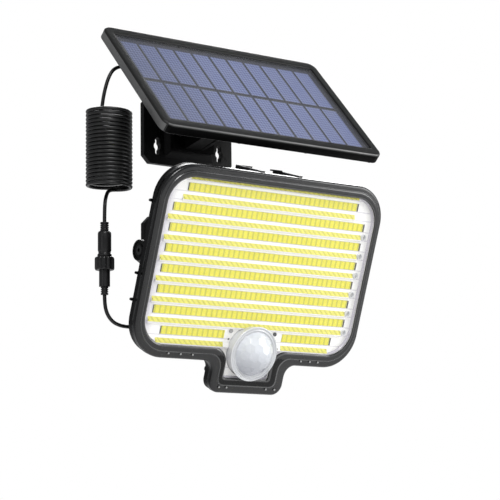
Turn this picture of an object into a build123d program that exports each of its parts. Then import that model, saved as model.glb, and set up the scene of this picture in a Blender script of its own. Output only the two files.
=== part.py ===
"""Wall-mounted solar flood light: a motion-sensing lamp on a tilting yoke, with its own
tilting solar panel above it and a coiled lead with a screw-locked plug between the two.

Frame: millimetres, +Z up, +Y into the wall, +X to the viewer's right. The origin is the
centre of the lamp bracket's rear face, where it lies on the wall.
"""
import os
from math import cos, pi, radians, sin

from build123d import *

# ---------------------------------------------------------------- driving dimensions
# wall brackets
PLATE_W, PLATE_H, PLATE_T = 86.4, 54.8, 5.0
PLATE_CHAMFER = 6.0
SLOT_SPACING_X, SLOT_SPACING_Z = 60.6, 25.9
SLOT_LENGTH, SLOT_W, KEYHOLE_D = 14.0, 4.0, 6.6
PAD_HALF_W, PAD_HALF_H, PAD_RISE = 20.0, 17.0, 4.0
PANEL_PLATE_Z = 97.5
BOLT_X = 14.0                       # bracket bolts, each side of the middle
BOLT_R, BOLT_HEAD_R, BOLT_HEAD_H = 2.5, 4.2, 3.2
NUT_AF, NUT_H = 8.0, 3.6
SEAT_T = 3.5                        # the yoke's and the arm's material on the pad

# lamp
LAMP_TILT = 20.3                    # degrees, face down from vertical
LAMP_W = 210.5
LAMP_TOP, LAMP_BOTTOM, TAB_BOTTOM = 71.3, -74.9, -99.3
LAMP_CORNER, TAB_X, TAB_HALF_W, TAB_CORNER, TAB_FLARE = 28.0, 6.5, 34.5, 9.0, 9.0
WINDOW_HALF_W, WINDOW_TOP, WINDOW_BOTTOM = 98.3, 61.8, -64.2
WINDOW_TAB_X, WINDOW_TAB_HALF_W, WINDOW_TAB_BOTTOM = 3.3, 21.1, -86.9
WINDOW_CORNER = 21.0
LIP_TOP, LENS_TOP, LENS_T = 4.2, 3.2, 1.4
PART_LINE, TRAY_BACK, WALL = -3.0, -10.0, 2.5
HUMP_BACK = -37.0
ROWS, ROW_PITCH, STRIP_H = 8, 15.45, 6.0
STRIP_HALF_W, SHORT_HALF_W, LAST_ROW_GAP = 90.0, 80.0, (-22.1, 32.9)
SENSOR_X, SENSOR_Z, SENSOR_R, SENSOR_TOP = 3.3, -66.2, 19.8, 8.6

# lamp pivot, measured from the middle of the light board
PIVOT_BACK, PIVOT_DOWN = -58.8, -6.45
YOKE_OUTER, YOKE_T, YOKE_H = 74.0, 4.5, 11.5
YOKE_EYE_R, LUG_OUTER, LUG_T, LUG_R = 8.15, 66.5, 6.5, 8.0
YOKE_SPLAY, YOKE_BEND_Y = 25.0, -37.2
EYE_GROOVE_R, EYE_GROOVE_W, EYE_GROOVE_DEPTH = 6.6, 1.7, 0.8
EYE_RECESS_R, EYE_RECESS = 3.75, 2.4

# panel
PANEL_LEAN = 42.5                   # degrees, back from vertical
PANEL_W, PANEL_H, PANEL_T, PANEL_CORNER = 208.5, 127.0, 8.0, 8.0
PANEL_LIP_X, PANEL_LIP_Y, PANEL_LIP_T = 7.5, 9.0, 1.2
GLASS_T = 2.0
CELL_COLS, CELL_ROWS, CELL_PITCH, CELL_W, CELL_LEN, CELL_GAP = 11, 2, 16.97, 16.3, 49.0, 1.6
PANEL_PIVOT_BACK = -24.0
CHEEK_INNER, CHEEK_T, HUB_R = 5.5, 3.5, 8.5

# lead
CORD_D = 2.8
COIL_OD = 35.0
COIL_X, COIL_Y, COIL_TOP, COIL_BOTTOM = -111.7, -60.0, 92.9, 32.4
PLUG_X, PLUG_Y = -115.8, -60.0

PIVOT_R, BUTTON_R, GLAND_R = 2.2, 4.5, 4.0
FIT = 0.05                          # radial clearance of a pin in its hole

# ---------------------------------------------------------------- local frames
tilt, lean = radians(LAMP_TILT), radians(PANEL_LEAN)
LAMP = Plane(origin=(0, -99.8, -22.4), x_dir=(1, 0, 0), z_dir=(0, -cos(tilt), -sin(tilt)))
PANEL = Plane(origin=(0, -81.3, 117.8), x_dir=(1, 0, 0), z_dir=(0, -cos(lean), sin(lean)))
LAMP_PIVOT = LAMP.from_local_coords(Vector(0, PIVOT_DOWN, PIVOT_BACK))
PANEL_PIVOT = PANEL.from_local_coords(Vector(0, 0, PANEL_PIVOT_BACK))


def side_plane(base, x, up=0.0, out=0.0):
    """A plane facing +X at a point given in a local frame; its own x runs outward."""
    origin = base.from_local_coords(Vector(x, up, out))
    return Plane(origin=origin, x_dir=base.z_dir, z_dir=(1, 0, 0))


def wall_plane(x, z, y=0.0):
    """A plane facing away from the wall, its own y upward."""
    return Plane(origin=(x, y, z), x_dir=(1, 0, 0), z_dir=(0, -1, 0))


def shifted(plane, x, y):
    """The same plane with its origin moved within it."""
    return Plane(plane * Pos(x, y, 0))


def save(builder, name):
    """Label a finished piece and write it under the same name."""
    builder.part.label = name
    export_step(builder.part, f"parts/{name}.step")


os.makedirs("parts", exist_ok=True)


# ---------------------------------------------------------------- wall brackets
def wall_bracket(name, z):
    """Screw plate with four keyholes and a raised pad for the yoke or arm."""
    with BuildPart() as plate:
        with BuildSketch(wall_plane(0, z)):
            Rectangle(PLATE_W, PLATE_H)
        extrude(amount=PLATE_T)
        corners = plate.edges().filter_by(Axis.Y)
        chamfer(corners, PLATE_CHAMFER)
        with BuildSketch(wall_plane(0, z, -PLATE_T)):
            Rectangle(2 * (PAD_HALF_W + PAD_RISE), 2 * (PAD_HALF_H + PAD_RISE))
        with BuildSketch(wall_plane(0, z, -PLATE_T - PAD_RISE)):
            Rectangle(2 * PAD_HALF_W, 2 * PAD_HALF_H)
        loft()
        with BuildSketch(wall_plane(0, z)):
            with GridLocations(SLOT_SPACING_X, SLOT_SPACING_Z, 2, 2):
                SlotOverall(SLOT_LENGTH, SLOT_W, rotation=90)
                Circle(KEYHOLE_D / 2)
            with GridLocations(2 * BOLT_X, 1, 2, 1):
                Circle(BOLT_R + FIT)
        extrude(amount=PLATE_T + PAD_RISE, mode=Mode.SUBTRACT)
        with BuildSketch(wall_plane(0, z)):
            with GridLocations(2 * BOLT_X, 1, 2, 1):
                RegularPolygon(NUT_AF / 2 + 0.1, 6, major_radius=False)
        extrude(amount=NUT_H + 0.3, mode=Mode.SUBTRACT)
    save(plate, name)


def disc(plane, radius, depth, bore=0.0, mode=Mode.ADD):
    """A plain or bored cylinder standing on the plane, as part of the piece being built."""
    with BuildSketch(plane) as section:
        Circle(radius)
        if bore:
            Circle(bore, mode=Mode.SUBTRACT)
    extrude(section.sketch, amount=depth, mode=mode)


def hex_nut(plane, depth):
    """An M5 nut standing on the plane, as part of the piece being built."""
    with BuildSketch(plane) as section:
        RegularPolygon(NUT_AF / 2, 6, major_radius=False)
        Circle(BOLT_R + FIT, mode=Mode.SUBTRACT)
    extrude(section.sketch, amount=depth)


def cap_bolt(plane, length, head_r=BOLT_HEAD_R, head_h=BOLT_HEAD_H, shank_r=BOLT_R, key=4.0):
    """A socket bolt: head outward from the plane, shank behind it."""
    disc(plane, head_r, head_h)
    disc(plane, shank_r, -length)
    with BuildSketch(plane.offset(head_h)) as socket:
        RegularPolygon(key / 2, 6, major_radius=False)
    extrude(socket.sketch, amount=-head_h * 0.6, mode=Mode.SUBTRACT)


def bracket_fasteners(name, z, grip):
    """The two bolts and two captive nuts that hold a yoke or arm to its plate."""
    face = -PLATE_T - PAD_RISE - grip
    with BuildPart() as bolts:
        for x in (-BOLT_X, BOLT_X):
            cap_bolt(wall_plane(x, z, face), grip + PLATE_T + PAD_RISE - 0.5)
    save(bolts, f"{name}_bolts")
    with BuildPart() as nuts:
        for x in (-BOLT_X, BOLT_X):
            hex_nut(wall_plane(x, z, -0.2), NUT_H)
    save(nuts, f"{name}_nuts")


wall_bracket("lamp_wall_plate", 0.0)
wall_bracket("panel_wall_plate", PANEL_PLATE_Z)

# ---------------------------------------------------------------- lamp yoke and pivot
PAD_FACE = -PLATE_T - PAD_RISE
yoke_z = LAMP_PIVOT.Z
yoke_mid_y = PAD_FACE - SEAT_T / 2
arm_mid = YOKE_OUTER - SEAT_T / 2

with BuildPart() as lamp_yoke:
    with BuildSketch(Plane.XY.offset(yoke_z - YOKE_H / 2)):
        with BuildLine():
            Polyline(
                (-arm_mid, LAMP_PIVOT.Y),
                (-arm_mid, YOKE_BEND_Y),
                (-arm_mid + YOKE_SPLAY, yoke_mid_y),
                (arm_mid - YOKE_SPLAY, yoke_mid_y),
                (arm_mid, YOKE_BEND_Y),
                (arm_mid, LAMP_PIVOT.Y),
            )
        trace(line_width=SEAT_T)
    extrude(amount=YOKE_H)
    with BuildSketch(wall_plane(0, 0, PAD_FACE)):
        Rectangle(2 * PAD_HALF_W, 2 * PAD_HALF_H - 4)
    extrude(amount=SEAT_T)
    for side in (-1, 1):
        eye = Plane(origin=(side * YOKE_OUTER, LAMP_PIVOT.Y, yoke_z), z_dir=(side, 0, 0))
        with BuildSketch(eye):
            Circle(YOKE_EYE_R)
        extrude(amount=-YOKE_T)
        with BuildSketch(eye):
            Circle(EYE_GROOVE_R)
            Circle(EYE_GROOVE_R - EYE_GROOVE_W, mode=Mode.SUBTRACT)
        extrude(amount=-EYE_GROOVE_DEPTH, mode=Mode.SUBTRACT)
        with BuildSketch(eye):
            Circle(EYE_RECESS_R)
        extrude(amount=-EYE_RECESS, mode=Mode.SUBTRACT)
        with BuildSketch(eye):
            Circle(BOLT_R + FIT)
        extrude(amount=-YOKE_T, mode=Mode.SUBTRACT)
    with BuildSketch(wall_plane(0, 0, PAD_FACE)):
        with GridLocations(2 * BOLT_X, 1, 2, 1):
            Circle(BOLT_R + FIT)
    extrude(amount=SEAT_T, mode=Mode.SUBTRACT)
save(lamp_yoke, "lamp_yoke")
bracket_fasteners("lamp_yoke", 0.0, SEAT_T)

PIVOT_NUT_X = LUG_OUTER - LUG_T - 0.3
with BuildPart() as pivot_bolts:
    for side in (-1, 1):
        seat_x = YOKE_OUTER - EYE_RECESS
        seat = Plane(origin=(side * seat_x, LAMP_PIVOT.Y, yoke_z), z_dir=(side, 0, 0))
        cap_bolt(seat, seat_x - PIVOT_NUT_X + NUT_H, EYE_RECESS_R - 0.15, 2.2, PIVOT_R, key=3.0)
save(pivot_bolts, "lamp_pivot_bolts")

with BuildPart() as pivot_nuts:
    for side in (-1, 1):
        at = Plane(origin=(side * PIVOT_NUT_X, LAMP_PIVOT.Y, yoke_z), z_dir=(side, 0, 0))
        hex_nut(at, -NUT_H)
save(pivot_nuts, "lamp_pivot_nuts")

with BuildPart() as pivot_spacers:
    for side in (-1, 1):
        at = Plane(
            origin=(side * (YOKE_OUTER - YOKE_T), LAMP_PIVOT.Y, yoke_z), z_dir=(side, 0, 0)
        )
        with BuildSketch(at):
            Circle(5.5)
            Circle(BOLT_R + FIT, mode=Mode.SUBTRACT)
        extrude(amount=-(YOKE_OUTER - YOKE_T - LUG_OUTER - 0.2))
save(pivot_spacers, "lamp_pivot_spacers")


# ---------------------------------------------------------------- lamp outlines
def tabbed_outline(height, half_w, top, bottom, corner, tab):
    """A rounded rectangle with a tab below it, as a sketch on the lamp's face."""
    tab_x, tab_half, tab_bottom, tab_corner, flare = tab
    with BuildSketch(LAMP.offset(height)) as outline:
        with Locations((0, (top + bottom) / 2)):
            RectangleRounded(2 * half_w, top - bottom, corner)
        with Locations((tab_x, tab_bottom / 2)):
            Rectangle(2 * tab_half, -tab_bottom)
        ends = [v for v in outline.vertices() if abs(v.Y - tab_bottom) < 0.01]
        fillet(ends, tab_corner)
        roots = [
            v
            for v in outline.vertices()
            if abs(v.Y - bottom) < 0.01 and abs(abs(v.X - tab_x) - tab_half) < 0.01
        ]
        fillet(roots, flare)
    return outline.sketch


def lamp_outline(height, inset):
    """The lamp's outer outline, drawn in by inset."""
    half_w, corner, flare = TAB_HALF_W - inset, TAB_CORNER - inset, TAB_FLARE + inset
    tab = (TAB_X, half_w, TAB_BOTTOM + inset, corner, flare)
    top, bottom = LAMP_TOP - inset, LAMP_BOTTOM + inset
    return tabbed_outline(height, LAMP_W / 2 - inset, top, bottom, LAMP_CORNER - inset, tab)


def window_outline(height, grow):
    """The clear opening in the bezel, grown outward by grow."""
    half_w, corner, flare = WINDOW_TAB_HALF_W + grow, 2.0 + grow, 12.0 - grow
    tab = (WINDOW_TAB_X, half_w, WINDOW_TAB_BOTTOM - grow, corner, flare)
    top, bottom = WINDOW_TOP + grow, WINDOW_BOTTOM - grow
    return tabbed_outline(height, WINDOW_HALF_W + grow, top, bottom, WINDOW_CORNER + grow, tab)


def lamp_circles(height, points, radius):
    """Equal circles at points of the lamp's face."""
    with BuildSketch(LAMP.offset(height)) as circles:
        with Locations(*points):
            Circle(radius)
    return circles.sketch


HOUSING_SCREWS = [(x, 66.6) for x in (-68, -30, 37, 68)]
HOUSING_SCREWS += [(x, -69.6) for x in (-76, -44, 55, 76)]
HOUSING_SCREWS += [(-23.0, -84.0), (33.0, -84.0)]
SCREW_R, SCREW_HEAD_R = 1.3, 2.7

# ---------------------------------------------------------------- lamp housing
HUMP_W, HUMP_H, HUMP_CORNER, HUMP_DRAFT = 150.0, 96.0, 20.0, 12.0
BUTTON_AT = (50.0, -20.0)
GLAND_UP, GLAND_OUT, GLAND_BOSS_X = -57.97, -19.56, -78.0
RAIL_MID, RAIL_X, RAIL_W, RAIL_BACK, RAIL_H, RAIL_DROP = 3.5, 18.0, 4.0, -36.0, 1.6, 1.4
HOOK_W, HOOK_T, HOOK_L = 3.0, 1.2, 12.0
BOARD_POSTS = [(x, up) for x in (-84, 84) for up in (-35, 40)]
SENSOR_POSTS = [(SENSOR_X - 14, SENSOR_Z), (SENSOR_X + 14, SENSOR_Z)]
POST_R = 2.5
STRIP_T, BOARD_T, RING_FOOT, SENSOR_BOARD_T = 1.2, 1.2, -5.0, 1.6


def hump(inset, front, mode=Mode.ADD):
    """The battery hump as a block, its sides drawn in by inset, from the front height back."""
    ends = []
    for height, draft in ((front, 0), (HUMP_BACK + inset, 1)):
        shrink = 2 * (inset + HUMP_DRAFT * draft)
        with BuildSketch(LAMP.offset(height)) as end:
            RectangleRounded(HUMP_W - shrink, HUMP_H - shrink, HUMP_CORNER - inset - 6 * draft)
        ends.append(end.sketch)
    loft(ends, mode=mode)


def hub(plane, radius, foot_at, foot_w, width):
    """A rounded lug: a hub with straight flanks to its foot, extruded by width."""
    with BuildSketch(plane) as section:
        Circle(radius)
        with Locations((foot_at, 0)):
            Rectangle(2, foot_w)
        make_hull()
    extrude(section.sketch, amount=width)


with BuildPart() as rear_housing:
    extrude(lamp_outline(PART_LINE, 0.6), amount=TRAY_BACK - PART_LINE)
    rim = rear_housing.faces().sort_by(Axis(LAMP.origin, LAMP.z_dir))[0]
    chamfer(rim.edges(), 2.0)
    hump(0, TRAY_BACK + 0.01)
    for inner_x in (-LUG_OUTER, LUG_OUTER - LUG_T):
        hub(side_plane(LAMP, inner_x, PIVOT_DOWN, PIVOT_BACK), LUG_R, 30, 34, LUG_T)
    boss = side_plane(LAMP, GLAND_BOSS_X, GLAND_UP, GLAND_OUT)
    hub(boss, 6.5, TRAY_BACK - GLAND_OUT + 1, 16, 14)
    inside = lamp_outline(PART_LINE, 0.6 + WALL)
    extrude(inside, amount=TRAY_BACK + WALL - PART_LINE, mode=Mode.SUBTRACT)
    hump(WALL, TRAY_BACK + WALL + 0.01, mode=Mode.SUBTRACT)
    extrude(lamp_circles(TRAY_BACK + 1, HOUSING_SCREWS, 3.4), amount=PART_LINE - TRAY_BACK - 1)
    extrude(
        lamp_circles(TRAY_BACK, HOUSING_SCREWS, SCREW_R + 0.2),
        amount=PART_LINE - TRAY_BACK,
        mode=Mode.SUBTRACT,
    )
    board_posts = lamp_circles(TRAY_BACK + 1, BOARD_POSTS, POST_R)
    extrude(board_posts, amount=-STRIP_T - BOARD_T - TRAY_BACK - 1)
    sensor_posts = lamp_circles(TRAY_BACK + 1, SENSOR_POSTS, POST_R)
    extrude(sensor_posts, amount=RING_FOOT - SENSOR_BOARD_T - TRAY_BACK - 1)
    disc(side_plane(LAMP, -80, PIVOT_DOWN, PIVOT_BACK), PIVOT_R + FIT, 160, mode=Mode.SUBTRACT)
    button_hole = shifted(LAMP.offset(HUMP_BACK), *BUTTON_AT)
    disc(button_hole, BUTTON_R + 0.15, WALL + 2, mode=Mode.SUBTRACT)
    disc(side_plane(LAMP, GLAND_BOSS_X, GLAND_UP, GLAND_OUT), GLAND_R + FIT, 8, mode=Mode.SUBTRACT)
    for side in (-1, 1):
        rail_left = RAIL_MID + side * RAIL_X - RAIL_W / 2
        with BuildSketch(side_plane(LAMP, rail_left, LAMP_TOP - 0.6, 0)) as rail:
            with BuildLine():
                Polyline(
                    (PART_LINE, 0.4),
                    (PART_LINE, -RAIL_H),
                    (RAIL_BACK, RAIL_DROP - RAIL_H),
                    (RAIL_BACK, 5),
                    (TRAY_BACK + 1, 20),
                    (TRAY_BACK + 1, 0.4),
                    close=True,
                )
            make_face()
        extrude(rail.sketch, amount=RAIL_W)
        hook_left = rail_left - HOOK_W if side > 0 else rail_left + RAIL_W
        with BuildSketch(side_plane(LAMP, hook_left, LAMP_TOP - 0.6, RAIL_BACK)) as hook:
            with BuildLine():
                Polyline(
                    (0, RAIL_DROP - RAIL_H),
                    (HOOK_L, -RAIL_H),
                    (HOOK_L, HOOK_T - RAIL_H),
                    (0, HOOK_T + RAIL_DROP - RAIL_H),
                    close=True,
                )
            make_face()
        extrude(hook.sketch, amount=HOOK_W)
save(rear_housing, "rear_housing")

# ---------------------------------------------------------------- bezel, seal and lens
SEAL_IN, SEAL_W, SEAL_T = 1.2, 1.4, 1.0
POCKET_GROW = 2.5
with BuildPart() as front_bezel:
    extrude(lamp_outline(PART_LINE, 0), amount=LIP_TOP - PART_LINE)
    rim = front_bezel.faces().sort_by(Axis(LAMP.origin, LAMP.z_dir))[-1]
    fillet(rim.edges(), 3.0)
    extrude(window_outline(PART_LINE, 0), amount=LIP_TOP - PART_LINE, mode=Mode.SUBTRACT)
    pocket = window_outline(PART_LINE, POCKET_GROW)
    extrude(pocket, amount=LENS_TOP - PART_LINE, mode=Mode.SUBTRACT)
    groove = lamp_outline(PART_LINE, SEAL_IN - 0.1) - lamp_outline(
        PART_LINE, SEAL_IN + SEAL_W + 0.1
    )
    extrude(groove, amount=SEAL_T + 0.1, mode=Mode.SUBTRACT)
    pilots = lamp_circles(PART_LINE, HOUSING_SCREWS, SCREW_R + FIT)
    extrude(pilots, amount=5.0, mode=Mode.SUBTRACT)
save(front_bezel, "front_bezel")

with BuildPart() as housing_seal:
    ring = lamp_outline(PART_LINE, SEAL_IN) - lamp_outline(PART_LINE, SEAL_IN + SEAL_W)
    extrude(ring, amount=SEAL_T)
save(housing_seal, "housing_seal")

SENSOR_HOLE = [(SENSOR_X, SENSOR_Z)]
with BuildPart() as front_lens:
    extrude(window_outline(LENS_TOP - LENS_T, POCKET_GROW - 0.3), amount=LENS_T)
    hole = lamp_circles(LENS_TOP - LENS_T, SENSOR_HOLE, SENSOR_R + 0.4)
    extrude(hole, amount=LENS_T, mode=Mode.SUBTRACT)
save(front_lens, "front_lens")


# ---------------------------------------------------------------- light engine
def row_up(row):
    """Height of a light strip's middle on the lamp's face."""
    return ((ROWS - 1) / 2 - row) * ROW_PITCH


def strip_spans(row):
    """Left and right ends of each strip in a row: the last row makes way for the sensor."""
    if row == 0:
        return [(-SHORT_HALF_W, SHORT_HALF_W)]
    if row == ROWS - 1:
        return [(-SHORT_HALF_W, LAST_ROW_GAP[0]), (LAST_ROW_GAP[1], SHORT_HALF_W)]
    return [(-STRIP_HALF_W, STRIP_HALF_W)]


def strip_sketch(height, grow):
    """All light strips' outlines, grown by grow."""
    with BuildSketch(LAMP.offset(height)) as strips:
        for row in range(ROWS):
            for left, right in strip_spans(row):
                with Locations(((left + right) / 2, row_up(row))):
                    Rectangle(right - left + 2 * grow, STRIP_H + 2 * grow)
    return strips.sketch


BOARD_TOP = -STRIP_T
TRAY_T, RIDGE_TOP, RIDGE_LEAD = 1.0, 1.3, 4.2
REFLECTOR_SCREWS = [(92.0, row_up(r) - 7.3) for r in range(1, ROWS - 1)]
FACE_SENSORS = [(-16.5, -51.2), (25.4, -51.5)]
with BuildPart() as reflector_tray:
    extrude(window_outline(BOARD_TOP, POCKET_GROW - 0.4), amount=TRAY_T)
    shelf = window_outline(BOARD_TOP, POCKET_GROW - 0.4) - window_outline(BOARD_TOP, 0.4)
    extrude(shelf, amount=LENS_TOP - LENS_T - BOARD_TOP)
    for row in range(ROWS):
        half_w = SHORT_HALF_W if row in (0, ROWS - 1) else STRIP_HALF_W
        with BuildSketch(side_plane(LAMP, -half_w - RIDGE_LEAD)) as ridge:
            crest = STRIP_H / 2 - row_up(row)
            low = BOARD_TOP + TRAY_T - 0.2
            with BuildLine():
                Polyline(
                    (low, crest + 2.6),
                    (RIDGE_TOP, crest + 6.6),
                    (RIDGE_TOP, crest + 7.4),
                    (low, crest + 8.6),
                    close=True,
                )
            make_face()
        extrude(ridge.sketch, amount=2 * half_w + RIDGE_LEAD - 0.4)
    extrude(strip_sketch(BOARD_TOP, 0.15), amount=4, mode=Mode.SUBTRACT)
    extrude(
        lamp_circles(BOARD_TOP, SENSOR_HOLE, SENSOR_R + 0.4), amount=4, mode=Mode.SUBTRACT
    )
    extrude(lamp_circles(BOARD_TOP, FACE_SENSORS, 1.7), amount=4, mode=Mode.SUBTRACT)
    extrude(lamp_circles(BOARD_TOP, REFLECTOR_SCREWS, 0.9), amount=4, mode=Mode.SUBTRACT)
    extrude(
        lamp_circles(BOARD_TOP + TRAY_T, REFLECTOR_SCREWS, 1.9), amount=3, mode=Mode.SUBTRACT
    )
save(reflector_tray, "reflector_tray")

with BuildPart() as led_strips:
    extrude(strip_sketch(BOARD_TOP, 0), amount=STRIP_T)
save(led_strips, "led_strips")

with BuildPart() as led_board:
    extrude(window_outline(BOARD_TOP - BOARD_T, POCKET_GROW - 0.6), amount=BOARD_T)
    hole = lamp_circles(BOARD_TOP - BOARD_T, SENSOR_HOLE, SENSOR_R + 0.4)
    extrude(hole, amount=BOARD_T, mode=Mode.SUBTRACT)
    pilots = lamp_circles(BOARD_TOP - BOARD_T, REFLECTOR_SCREWS, 0.85)
    extrude(pilots, amount=BOARD_T, mode=Mode.SUBTRACT)
save(led_board, "led_board")

with BuildPart() as reflector_screws:
    for x, up in REFLECTOR_SCREWS:
        seat = shifted(LAMP.offset(BOARD_TOP + TRAY_T), x, up)
        cap_bolt(seat, TRAY_T + BOARD_T, 1.6, 0.8, 0.8, key=1.2)
save(reflector_screws, "reflector_screws")

with BuildPart() as light_sensor:
    disc(shifted(LAMP.offset(BOARD_TOP), *FACE_SENSORS[0]), 1.5, 1.8)
save(light_sensor, "light_sensor")

with BuildPart() as remote_receiver:
    disc(shifted(LAMP.offset(BOARD_TOP), *FACE_SENSORS[1]), 1.5, 1.8)
save(remote_receiver, "remote_receiver")

# ---------------------------------------------------------------- motion sensor
SENSOR = shifted(LAMP, SENSOR_X, SENSOR_Z)
DOME_SEAT, DOME_RISE, DOME_R, DOME_WALL = 3.0, 11.0, 17.0, 1.2
with BuildPart() as sensor_ring:
    disc(SENSOR.offset(RING_FOOT), SENSOR_R, SENSOR_TOP - RING_FOOT, bore=15.2)
    crown = sensor_ring.faces().sort_by(Axis(LAMP.origin, LAMP.z_dir))[-1]
    fillet(crown.edges().sort_by(SortBy.RADIUS)[-1], 1.0)
    disc(SENSOR.offset(DOME_SEAT), DOME_R + FIT, 8, mode=Mode.SUBTRACT)
save(sensor_ring, "sensor_ring")

sphere_r = (DOME_R**2 + DOME_RISE**2) / (2 * DOME_RISE)
dome_centre = SENSOR_TOP + DOME_RISE - sphere_r
with BuildPart() as sensor_dome:
    with BuildSketch(Plane(SENSOR.origin, x_dir=(1, 0, 0), z_dir=-SENSOR.y_dir)) as profile:
        inner_r = sphere_r - DOME_WALL
        inner_x = DOME_R - DOME_WALL
        inner_z = dome_centre + (inner_r**2 - inner_x**2) ** 0.5
        with BuildLine():
            seat = Polyline(
                (inner_x, inner_z), (inner_x, DOME_SEAT), (DOME_R, DOME_SEAT), (DOME_R, SENSOR_TOP)
            )
            outer = RadiusArc(seat @ 1, (0, dome_centre + sphere_r), -sphere_r)
            axis_line = Line(outer @ 1, (0, dome_centre + inner_r))
            RadiusArc(axis_line @ 1, (inner_x, inner_z), inner_r)
        make_face()
    revolve(profile.sketch, axis=Axis(SENSOR.origin, SENSOR.z_dir))
save(sensor_dome, "sensor_dome")

with BuildPart() as sensor_board:
    disc(SENSOR.offset(RING_FOOT - SENSOR_BOARD_T), 19.0, SENSOR_BOARD_T)
save(sensor_board, "sensor_board")

with BuildPart() as pir_sensor:
    disc(SENSOR.offset(RING_FOOT), 4.6, 4.2)
    disc(SENSOR.offset(RING_FOOT), 5.1, 0.6)
save(pir_sensor, "pir_sensor")

# ---------------------------------------------------------------- lamp electronics and power
with BuildPart() as control_board:
    with BuildSketch(LAMP.offset(-9)):
        with Locations((-20, 14)):
            Rectangle(84, 52)
    extrude(amount=1.6)
    with BuildSketch(LAMP.offset(-7.4)):
        with Locations((-44, 24), (-18, 30), (4, 12)):
            Rectangle(10, 8)
    extrude(amount=3)
save(control_board, "control_board")

CELL_R, CELL_L = 9.2, 65.0
CELL_HEIGHT = HUMP_BACK + WALL + 1.5 + CELL_R
with BuildPart() as battery_cells:
    for up in (-1, 1):
        disc(side_plane(LAMP, -CELL_L / 2, up * (CELL_R + 0.6), CELL_HEIGHT), CELL_R, CELL_L)
save(battery_cells, "battery_cells")

with BuildPart() as battery_holder:
    with BuildSketch(LAMP.offset(HUMP_BACK + WALL)):
        Rectangle(CELL_L + 8, 4 * CELL_R + 6)
    extrude(amount=11)
    for up in (-1, 1):
        bay = side_plane(LAMP, -CELL_L / 2 - 1.5, up * (CELL_R + 0.6), CELL_HEIGHT)
        disc(bay, CELL_R + 0.2, CELL_L + 3, mode=Mode.SUBTRACT)
save(battery_holder, "battery_holder")

with BuildPart() as battery_contacts:
    for x in (-CELL_L / 2 - 1.2, CELL_L / 2 + 0.1):
        for up in (-1, 1):
            disc(side_plane(LAMP, x, up * (CELL_R + 0.6), CELL_HEIGHT), 4.0, 1.1)
save(battery_contacts, "battery_contacts")

with BuildPart() as housing_screws:
    for x, up in HOUSING_SCREWS:
        head = shifted(LAMP.offset(TRAY_BACK), x, up)
        disc(head, SCREW_HEAD_R, -1.8)
        disc(head, SCREW_R, PART_LINE - TRAY_BACK + 4.5)
        disc(head.offset(-1.8), 1.0, 1.0, mode=Mode.SUBTRACT)
save(housing_screws, "housing_screws")

with BuildPart() as power_button:
    at = shifted(LAMP.offset(HUMP_BACK - 2.5), *BUTTON_AT)
    disc(at, BUTTON_R, 5.8)
    fillet(power_button.faces().sort_by(Axis(LAMP.origin, LAMP.z_dir))[0].edges(), 1.0)
save(power_button, "power_button")

with BuildPart() as power_switch:
    with BuildSketch(shifted(LAMP.offset(HUMP_BACK + 4.6), *BUTTON_AT)) as body:
        Rectangle(12, 12)
    extrude(body.sketch, amount=6)
save(power_switch, "power_switch")


def cable_gland(name, plane, length, thread):
    """A moulded gland: threaded root in its hole, hex, and a tapered nose for the cord."""
    with BuildPart() as gland:
        disc(plane.offset(-thread), GLAND_R, thread)
        with BuildSketch(plane) as hexagon:
            RegularPolygon(5.5, 6, major_radius=False)
        extrude(hexagon.sketch, amount=3.5)
        disc(plane.offset(3.5), 4.2, length - 3.5)
        nose = gland.faces().sort_by(Axis(plane.origin, plane.z_dir))[-1]
        chamfer(nose.edges(), 1.8)
    save(gland, name)


def left_plane(point):
    """A plane facing -X at a point."""
    return Plane(origin=point, x_dir=(0, 1, 0), z_dir=(-1, 0, 0))


GLAND_LENGTH = 12.0
lamp_gland_at = LAMP.from_local_coords(Vector(GLAND_BOSS_X, GLAND_UP, GLAND_OUT))
cable_gland("lamp_cable_gland", left_plane(lamp_gland_at), GLAND_LENGTH, 7)

# ---------------------------------------------------------------- panel
OPEN_W, OPEN_H = PANEL_W - 2 * PANEL_LIP_X, PANEL_H - 2 * PANEL_LIP_Y
GLASS_BACK = -PANEL_LIP_T - GLASS_T
COVER_T, FRAME_WALL = 2.0, 2.0
PANEL_SCREW_R, PANEL_SCREW_HEAD_R = 1.1, 2.3
PANEL_SCREWS = [(x, up) for x in (-96, -32, 32, 96) for up in (-58.8, 58.8)]


def panel_rect(height, w, h, corner):
    """A rounded rectangle centred on the panel at a height from its front face."""
    with BuildSketch(PANEL.offset(height)) as rect:
        RectangleRounded(w, h, corner)
    return rect.sketch


def panel_circles(height, radius):
    """Equal circles at the panel's screw points."""
    with BuildSketch(PANEL.offset(height)) as circles:
        with Locations(*PANEL_SCREWS):
            Circle(radius)
    return circles.sketch


with BuildPart() as panel_frame:
    extrude(panel_rect(-PANEL_T, PANEL_W, PANEL_H, PANEL_CORNER), amount=PANEL_T)
    rim = panel_frame.faces().sort_by(Axis(PANEL.origin, PANEL.z_dir))[-1]
    fillet(rim.edges(), 1.8)
    extrude(panel_rect(-PANEL_T, OPEN_W, OPEN_H, 2), amount=PANEL_T, mode=Mode.SUBTRACT)
    glass_pocket = panel_rect(-PANEL_T, OPEN_W + 3, OPEN_H + 3, 3)
    extrude(glass_pocket, amount=PANEL_T - PANEL_LIP_T, mode=Mode.SUBTRACT)
    inside = panel_rect(-PANEL_T, PANEL_W - 2 * FRAME_WALL, PANEL_H - 2 * FRAME_WALL, 5)
    extrude(inside, amount=COVER_T + 0.1, mode=Mode.SUBTRACT)
    extrude(panel_circles(-PANEL_T, PANEL_SCREW_R + FIT), amount=5.5, mode=Mode.SUBTRACT)
save(panel_frame, "panel_frame")

with BuildPart() as panel_glass:
    extrude(panel_rect(GLASS_BACK, OPEN_W + 2.6, OPEN_H + 2.6, 2.8), amount=GLASS_T)
save(panel_glass, "panel_glass")

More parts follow.
